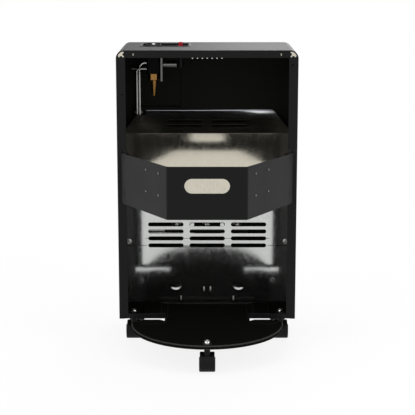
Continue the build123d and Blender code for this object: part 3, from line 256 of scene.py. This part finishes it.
# dark of the seam lines, and of the painted shade on the hood's rolled edge
SEAM_AND_SHADE_COLOR = (0.02, 0.02, 0.02)
OUTER_SEAM = 0.214           # height of the seam that starts beside the slots
OUTER_START = 0.151
INNER_SEAM = 0.2319          # height of the one that ends with the slots
INNER_END = 0.155
SEAM_DEPTHS = (0.95, 0.75)   # of the outer and the inner one
HOLLOW_SIDE = 0.079          # the two round hollows, of which only the lower rim catches light
HOLLOW_SHADE = 0.1200        # height of the middle of the shaded disc in each
HOLLOW_EDGE = (0.0162, 0.0174)
HOLLOW_FADE = (0.107, 0.112)    # heights over which the shade ends, where the hollow is dark anyway
HOLLOW_COLOR = (0.012, 0.012, 0.012)
HEM = (0.5235, 0.5445)       # heights over which the hood's sheet turns up into its rolled edge
HEM_BOW = 50.0               # degrees that it turns, at the right
HEM_BOW_SIDES = (-0.04, 0.13)
# painted highlight: the bluish white that the hood's sheet turns to up to its rolled edge
HEM_HIGHLIGHT = (0.80, 0.82, 0.88)
HEM_LEFT_SHADE = 0.55               # share of painted shade on the rolled edge at the left, which fades out towards the right
HEM_LEFT_SHADE_SIDES = (-0.10, 0.10)
# How the heat shield bows: from a height on, the sheet leans further by some degrees, over a short way
BOWS = ((0.487, 0.448, 3.4), (0.217, 0.205, -0.8), (0.176, 0.147, 3.0))
BOW_SIDE = 3.2               # degrees that it curves back towards the side walls
BOW_HALF = 0.170             # from the middle to where it curves by that much


def seam(made, color, height, reach, depth):
    """The colour with a dark line at a height, where reach is 1."""
    line = made.below(made.math("ABSOLUTE", made.math("SUBTRACT", made.axis("Z"), height)), SEAM_HALF)
    return made.mix(made.product(made.product(line, reach), depth), color, SEAM_AND_SHADE_COLOR)


def shade_hollows(made, color):
    """The colour, dark in the two hollows down to their lower rims."""
    side = made.math("SUBTRACT", made.math("ABSOLUTE", made.axis("X")), HOLLOW_SIDE)
    up = made.math("SUBTRACT", made.axis("Z"), HOLLOW_SHADE)
    disc = made.spread(made.length(side, up), 1.0, 0.0, *HOLLOW_EDGE)
    fade = made.spread(made.axis("Z"), 1.0, 0.0, *HOLLOW_FADE)
    return made.mix(made.product(disc, fade), color, HOLLOW_COLOR)


def hem_highlight_and_shade(made, color):
    """The colour with a painted highlight, whiter up to the hood's rolled edge, and painted shade on that
    edge at the left.
    """
    color = made.mix(made.spread(made.axis("Z"), 0.0, 1.0, *HEM), color, HEM_HIGHLIGHT)
    left_shade = made.spread(made.axis("X"), HEM_LEFT_SHADE, 0.0, *HEM_LEFT_SHADE_SIDES)
    edge = made.above(made.axis("Z"), HEM[1] - 2 * MM)
    return made.mix(made.product(edge, left_shade), color, SEAM_AND_SHADE_COLOR)


def hem_lean(made):
    """Degrees that the hood's sheet turns up into its rolled edge."""
    up = made.spread(made.axis("Z"), 0.0, 1.0, *HEM)
    return made.product(up, made.spread(made.axis("X"), 0.0, HEM_BOW, *HEM_BOW_SIDES))


def bowed(made, normal, hem):
    """The normal, turned as the shield bows in height and across."""
    lean = hem_lean(made) if hem else 0.0
    for high, low, degrees in BOWS:
        smooth = {"interpolation_type": "SMOOTHSTEP"}
        bow = made.node("MapRange", 0, smooth, i0=made.axis("Z"), i1=high, i2=low, i3=0.0, i4=degrees)
        lean = made.math("ADD", bow, lean)
    across = made.math("DIVIDE", made.axis("X"), BOW_HALF)
    cubed = made.product(made.product(across, across), across)
    return made.turned(made.turned(normal, "X", lean), "Z", made.product(cubed, BOW_SIDE))


def galvanised(name="galvanised", rough=0.0, hem=False):
    """Zinc-coated sheet: a fairly clear mirror that bows a little, with a fine grain along the sheet, and
    a painted warm reflection higher up.
    """
    made = Finish(name, (0.52, 0.51, 0.48), 0.11, METAL)
    grain = made.noise(700.0, 3.0, made.stretched(1.0, 1.0, 0.30))
    spangle = made.node("SeparateColor", 0, Color=made.cells(160.0, made.stretched(1.0, 1.0, 0.6)))
    tone = made.blend(0.45, spangle, grain)
    rounded = made.round_edges(0.5 * MM)
    sheared = made.spread(made.departure(rounded), 0.0, 1.0, 0.02, 0.15)
    side = made.math("ABSOLUTE", made.axis("X"))

    # painted reflection: the zinc's colour warms from grey to straw with height
    warm_reflection = made.spread(made.axis("Z"), 0.0, 1.0, *WARM_REFLECTION)
    color = made.mix(tone, made.mix(warm_reflection, GREY_DARK, STRAW_DARK), made.mix(warm_reflection, GREY_LIGHT, STRAW_LIGHT))
    color = seam(made, color, OUTER_SEAM, made.above(side, OUTER_START), SEAM_DEPTHS[0])
    color = seam(made, color, INNER_SEAM, made.below(side, INNER_END), SEAM_DEPTHS[1])
    if hem:
        # the hood's painted highlight and painted shade along its rolled edge
        color = hem_highlight_and_shade(made, color)
    made.set("Base Color", made.mix(sheared, shade_hollows(made, color), SHEARED_COLOR))
    made.set("Metallic", made.spread(side, METAL, MARGIN_METAL, *MARGIN))

    smooth, dull = (limit + rough for limit in ZINC_ROUGH)
    gloss = made.spread(made.blend(0.6, tone, made.noise(9.0, 3.0)), smooth, dull)
    made.set("Roughness", made.math("MAXIMUM", gloss, made.product(sheared, SHEARED_ROUGH)))

    waves = made.bump(made.noise(14.0, 1.0), 0.05 * MM, bowed(made, rounded, hem))
    mottled = made.bump(made.noise(230.0, 2.0), 0.022 * MM, waves)
    made.set("Normal", made.bump(grain, 0.0012 * MM, mottled))
    return made


BRIGHT = (0.62, 0.62, 0.61)


def turned_metal(name, color, roughness):
    """Plated or turned metal: a fine grain round its parts and a slightly uneven shine."""
    made = Finish(name, color, roughness, 1.0)
    grain = made.noise(260.0, 2.0, made.stretched(1.0, 1.0, 6.0))
    made.set("Roughness", made.spread(grain, roughness - 0.06, roughness + 0.06))
    dark = tuple(0.86 * c for c in color)
    made.set("Base Color", made.mix(made.noise(70.0, 3.0), dark, color))
    made.set("Normal", made.bump(grain, 0.006 * MM, made.round_edges(0.25 * MM)))
    return made


UPPER_SCREWS = 0.40          # the shield's screws above this height are coloured near black


def screw_steel():
    """Zinc screws low on the heat shield, near-black ones under its top edge."""
    made = turned_metal("screw_steel", BRIGHT, 0.24)
    upper = made.above(made.axis("Z"), UPPER_SCREWS)
    made.set("Base Color", made.mix(upper, (0.60, 0.60, 0.59), (0.006, 0.006, 0.006)))
    return made


def rivet_steel():
    """Small steel rivet heads, rounded by their bevelled normals, that catch a lamp."""
    made = turned_metal("rivet_steel", (0.13, 0.13, 0.13), 0.20)
    made.set("Normal", made.round_edges(2.0 * MM))
    return made


def chrome():
    """Bright chrome plate."""
    made = Finish("chrome", (0.82, 0.82, 0.83), 0.07, 1.0)
    made.set("Roughness", made.spread(made.noise(60.0, 2.0), 0.05, 0.11))
    return made


def aluminised():
    """Aluminised sheet, rolled along its width, slightly heat-tinted in clouds."""
    made = Finish("aluminised", (0.74, 0.75, 0.76), 0.26, 1.0)
    rolled = made.noise(900.0, 2.0, made.stretched(0.04, 1.0, 1.0))
    cloud = made.spread(made.noise(11.0, 3.0), 0.0, 1.0)
    made.set("Roughness", made.spread(rolled, 0.20, 0.32))
    made.set("Base Color", made.mix(cloud, (0.68, 0.66, 0.62), (0.77, 0.78, 0.79)))
    made.set("Normal", made.bump(rolled, 0.006 * MM, made.round_edges(0.4 * MM)))
    return made


def cast_metal():
    """Near-black die-cast metal with a pebbled skin."""
    made = Finish("valve_metal", (0.0045, 0.0045, 0.0047), 0.42, Specular_IOR_Level=0.04)
    pebbles = made.noise(700.0, 3.0)
    blotches = made.noise(120.0, 2.0)
    made.set("Roughness", made.spread(pebbles, 0.34, 0.50))
    made.set("Base Color", made.mix(blotches, (0.0035, 0.0035, 0.0037), (0.0060, 0.0060, 0.0062)))
    made.set("Normal", made.bump(pebbles, 0.03 * MM, made.round_edges(0.6 * MM)))
    return made


PORT_PITCH = 3.2 * MM
PORT_EDGE = (0.20, 0.28)     # from a port's middle, in pitches: where its painted shade starts to fade, and ends


def ceramic():
    """Cream burner ceramic, pierced by rows of small flame ports, with painted shade in each port."""
    made = Finish("ceramic", (0.78, 0.71, 0.60), 0.85)
    steps = made.node("VectorMath", 0, {"operation": "SCALE"}, Vector=made.place, Scale=1 / PORT_PITCH)
    cell = made.node("VectorMath", 0, {"operation": "FRACTION"}, i0=steps)
    across, up = (made.math("SUBTRACT", made.axis(name, cell), 0.5) for name in "XZ")
    port = made.spread(made.length(across, up), 1.0, 0.0, *PORT_EDGE)
    tint = made.mix(made.noise(30.0, 3.0), (0.72, 0.63, 0.51), (0.84, 0.78, 0.68))
    # painted shade: each flame port is coloured dark down its middle
    made.set("Base Color", made.mix(port, tint, (0.10, 0.075, 0.055)))
    grit = made.bump(made.noise(1500.0, 2.0), 0.02 * MM)
    made.set("Normal", made.bump(port, -0.5 * MM, grit))
    return made


def glazed():
    """White glazed insulator of the spark electrode."""
    made = Finish("glazed", (0.80, 0.78, 0.73), 0.22, Coat_Weight=0.4, Coat_Roughness=0.1)
    made.set("Base Color", made.mix(made.noise(90.0, 2.0), (0.74, 0.71, 0.65), (0.83, 0.81, 0.77)))
    return made


def moulded(name, color, roughness, grain, depth, specular):
    """Moulded plastic with a fine spark-eroded grain."""
    made = Finish(name, color, roughness, Specular_IOR_Level=specular)
    skin = made.noise(grain, 2.0)
    lighter = tuple(1.35 * c for c in color)
    made.set("Roughness", made.spread(made.noise(22.0, 2.0), roughness - 0.05, roughness + 0.05))
    made.set("Base Color", made.mix(skin, color, lighter))
    made.set("Normal", made.bump(skin, depth, made.round_edges(0.5 * MM)))
    return made


FINISHES = {
    "black_paint": black_paint(),
    "galvanised": galvanised(),
    "bright_steel": turned_metal("bright_steel", BRIGHT, 0.24),
    "chrome": chrome(),
    "aluminised": aluminised(),
    "valve_metal": cast_metal(),
    "brass": turned_metal("brass", (0.34, 0.21, 0.075), 0.14),
    "ceramic": ceramic(),
    "black_plastic": moulded("black_plastic", (0.005, 0.005, 0.0054), 0.45, 1300.0, 0.02 * MM, 0.15),
    "caster_plastic": moulded("caster_plastic", (0.0045, 0.0045, 0.0048), 0.40, 900.0, 0.008 * MM, 0.12),
    "red_plastic": moulded("red_plastic", (0.30, 0.006, 0.014), 0.30, 900.0, 0.004 * MM, 0.25),
    "lead_cover": moulded("lead_cover", (0.004, 0.004, 0.004), 0.55, 900.0, 0.01 * MM, 0.05),
}
OWN_FINISHES = {
    "cabinet_shell": shell_paint(),
    "front_panel": panel_paint(),
    "base_tray": tray_paint(),
    "spark_electrode": glazed(),
    "magnet_unit": turned_metal("dark_nickel", (0.17, 0.17, 0.165), 0.16),
    "gas_manifold": turned_metal("dark_steel", (0.022, 0.022, 0.022), 0.35),
    "shield_screws": screw_steel(),
    "valve_bracket": turned_metal("dull_zinc", (0.15, 0.15, 0.145), 0.35),
    # the hood, with the painted highlight and painted shade of its rolled edge
    "shield_hood": galvanised("dull_galvanised", 0.10, hem=True),
    "band_rivets": rivet_steel(),
    "hose_nozzle": turned_metal("nozzle_brass", (0.31, 0.165, 0.05), 0.33),
}


def dress(name, finish):
    """Gives one CAD node its finish."""
    slots = frame["nodes"][name].data.materials
    slots.clear()
    slots.append(finish.material)


for subpart in frame["record"]["subparts"]:
    node = subpart["node"]
    dress(node, OWN_FINISHES.get(node) or FINISHES[subpart["material_slot"]])


# ---------------------------------------------------------------- small pieces on the CAD
def put(name, data):
    """A new object in the scene."""
    made = bpy.data.objects.new(name, data)
    bpy.context.scene.collection.objects.link(made)
    return made


def meshed(name, work, material):
    """A mesh object from a bmesh, which it uses up."""
    mesh = bpy.data.meshes.new(name)
    work.to_mesh(mesh)
    work.free()
    mesh.materials.append(material)
    return put(name, mesh)


def piece(name, work, finish, body):
    """A smooth piece from a bmesh, carried by a body."""
    for face in work.faces:
        face.smooth = True
    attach(meshed(name, work, finish.material), body)


def turned_profile(work, profile, place, steps=24):
    """A turned form: pairs of radius and height, spun about an upright axis through a place."""
    rings = []
    for radius, height in profile:
        ring = []
        for step in range(steps):
            angle = 2 * math.pi * step / steps
            spot = (radius * math.cos(angle), radius * math.sin(angle), height)
            ring.append(work.verts.new([a + b for a, b in zip(place, spot)]))
        rings.append(ring)
    for low, high in zip(rings, rings[1:]):
        for step in range(steps):
            after = (step + 1) % steps
            work.faces.new((low[step], low[after], high[after], high[step]))
    work.faces.new(list(reversed(rings[0])))
    work.faces.new(rings[-1])


PIN_RADIUS = 1.5 * MM
PIN_HALF = 5.5 * MM
PIN_PLACES = ((0.008, 0.1342, 0.1010), (0.066, 0.1351, 0.0765))


def shield_pins():
    """Upright locating pins, domed at both ends, that stand against the foot of the heat shield."""
    work = bmesh.new()
    bend = [math.radians(angle) for angle in (15, 35, 55, 75)]
    lower = [(PIN_RADIUS * math.sin(a), -PIN_HALF + PIN_RADIUS * (1 - math.cos(a))) for a in bend]
    upper = [(radius, -height) for radius, height in reversed(lower)]
    for x, y, z in PIN_PLACES:
        for side in (-1, 1):
            turned_profile(work, lower + upper, (side * x, y, z))
    piece("shield_pins", work, turned_metal("pin_zinc", (0.92, 0.92, 0.90), 0.48), "cabinet")


GRIP_FACE = 0.1144           # rear face of the knob's grip
GRIP_MIDDLE = -0.129
POINTER_PROUD = 0.6 * MM
POINTER_SUNK = 0.8 * MM
POINTER_OUTLINE = ((-0.0045, 0.7183), (0.0045, 0.7183), (0.0022, 0.7122), (-0.0022, 0.7122))


def knob_pointer():
    """Silver pointer let into the side of the knob's grip, with softened edges."""
    work = bmesh.new()
    near, far = ([work.verts.new((GRIP_MIDDLE + x, y, z)) for x, z in POINTER_OUTLINE]
                 for y in (GRIP_FACE - POINTER_PROUD, GRIP_FACE + POINTER_SUNK))
    work.faces.new(near)
    work.faces.new(list(reversed(far)))
    for index in range(len(near)):
        after = (index + 1) % len(near)
        work.faces.new((near[after], near[index], far[index], far[after]))
    bmesh.ops.bevel(work, geom=work.edges[:], offset=0.3 * MM, segments=2, affect="EDGES")
    bmesh.ops.recalc_face_normals(work, faces=work.faces[:])
    piece("knob_pointer", work, FINISHES["bright_steel"], "knob")


shield_pins()
knob_pointer()


# ---------------------------------------------------------------- studio
def seen_directly(tree):
    """1 for rays from the camera, in a mirror or through glass, 0 for the light that falls on things."""
    seen = 0.0
    for kind in ("Camera", "Glossy", "Transmission"):
        ray = add_node(tree, "LightPath", f"Is {kind} Ray")
        seen = add_node(tree, "Math", 0, {"operation": "MAXIMUM"}, i0=seen, i1=ray)
    return seen


FLOOR_HALF = 30.0
FLOOR_COLOR = (0.90, 0.90, 0.90, 1)
FLOOR_GLOW = 0.86            # share of plain white in what the camera sees of the floor near the heater
GLOW_NEAR = 0.5              # from the middle of the heater; from GLOW_FAR on the floor is plain white
GLOW_FAR = 1.6


def floor():
    """A pale floor that goes white towards the backdrop and keeps a soft shadow."""
    material = bpy.data.materials.new("floor")
    material.use_nodes = True
    tree = material.node_tree
    tree.nodes.clear()
    place = add_node(tree, "TexCoord", "Object")
    distance = add_node(tree, "VectorMath", "Value", {"operation": "LENGTH"}, i0=place)
    smooth = {"interpolation_type": "SMOOTHSTEP"}
    glow = add_node(tree, "MapRange", 0, smooth,
                    i0=distance, i1=GLOW_NEAR, i2=GLOW_FAR, i3=FLOOR_GLOW, i4=1.0)
    share = add_node(tree, "Math", 0, {"operation": "MULTIPLY"}, i0=seen_directly(tree), i1=glow)
    matt = add_node(tree, "BsdfDiffuse", 0, Color=FLOOR_COLOR)
    white = add_node(tree, "Emission", 0)
    output = tree.nodes.new("ShaderNodeOutputMaterial")
    fill(tree, output.inputs["Surface"], add_node(tree, "MixShader", 0, i0=share, i1=matt, i2=white))

    work = bmesh.new()
    corners = ((-1, -1), (1, -1), (1, 1), (-1, 1))
    work.faces.new([work.verts.new((x * FLOOR_HALF, y * FLOOR_HALF, 0)) for x, y in corners])
    made = meshed("floor", work, material)


WORLD_LIGHT = 0.55           # what falls on the object from all round
BACKDROP = 1.0               # what the camera and mirrors see


def world():
    """Even, soft light from all round, before a white backdrop."""
    made = bpy.data.worlds.new("studio")
    bpy.context.scene.world = made
    made.use_nodes = True
    tree = made.node_tree
    background = tree.nodes["Background"]
    level = add_node(tree, "MapRange", 0, i0=seen_directly(tree), i3=WORLD_LIGHT, i4=BACKDROP)
    fill(tree, background.inputs["Color"], (1, 1, 1, 1))
    fill(tree, background.inputs["Strength"], level)


HEART = Vector((0.0, 0.0, 0.36))
SOFT_BOXES = {               # place, size and power
    "left_box": ((-1.9, -1.6, 1.7), 1.4, 26.0),
    "right_box": ((2.0, -1.2, 1.5), 1.4, 20.0),
    "front_box": ((0.6, 2.2, 1.8), 1.4, 20.0),
    "top_box": ((0.0, 0.2, 2.6), 1.6, 16.0),
}


def lamp(name, place, size, power):
    """A square soft box that points at the heart of the heater."""
    data = bpy.data.lights.new(name, "AREA")
    data.size = size
    data.energy = power
    made = put(name, data)
    made.location = place
    made.rotation_euler = (HEART - Vector(place)).to_track_quat("-Z", "Y").to_euler()


floor()
world()
for name, (place, size, power) in SOFT_BOXES.items():
    lamp(name, place, size, power)


# ---------------------------------------------------------------- camera
CAMERA_PLACE = (0.0007, -2.8759, 0.9463)
CAMERA_PITCH = 11.40         # degrees below the horizon
CAMERA_LENS = 107.34         # millimetres on a 36 mm frame
CAMERA_SHIFT = -0.0278       # of the frame's width


def camera():
    """A long lens behind the heater, looking slightly down on it."""
    data = bpy.data.cameras.new("camera")
    data.lens = CAMERA_LENS
    data.shift_y = CAMERA_SHIFT
    made = put("camera", data)
    made.location = CAMERA_PLACE
    made.rotation_euler = (math.radians(90 - CAMERA_PITCH), 0, 0)
    bpy.context.scene.camera = made


camera()
bpy.context.scene.view_settings.view_transform = "Standard"
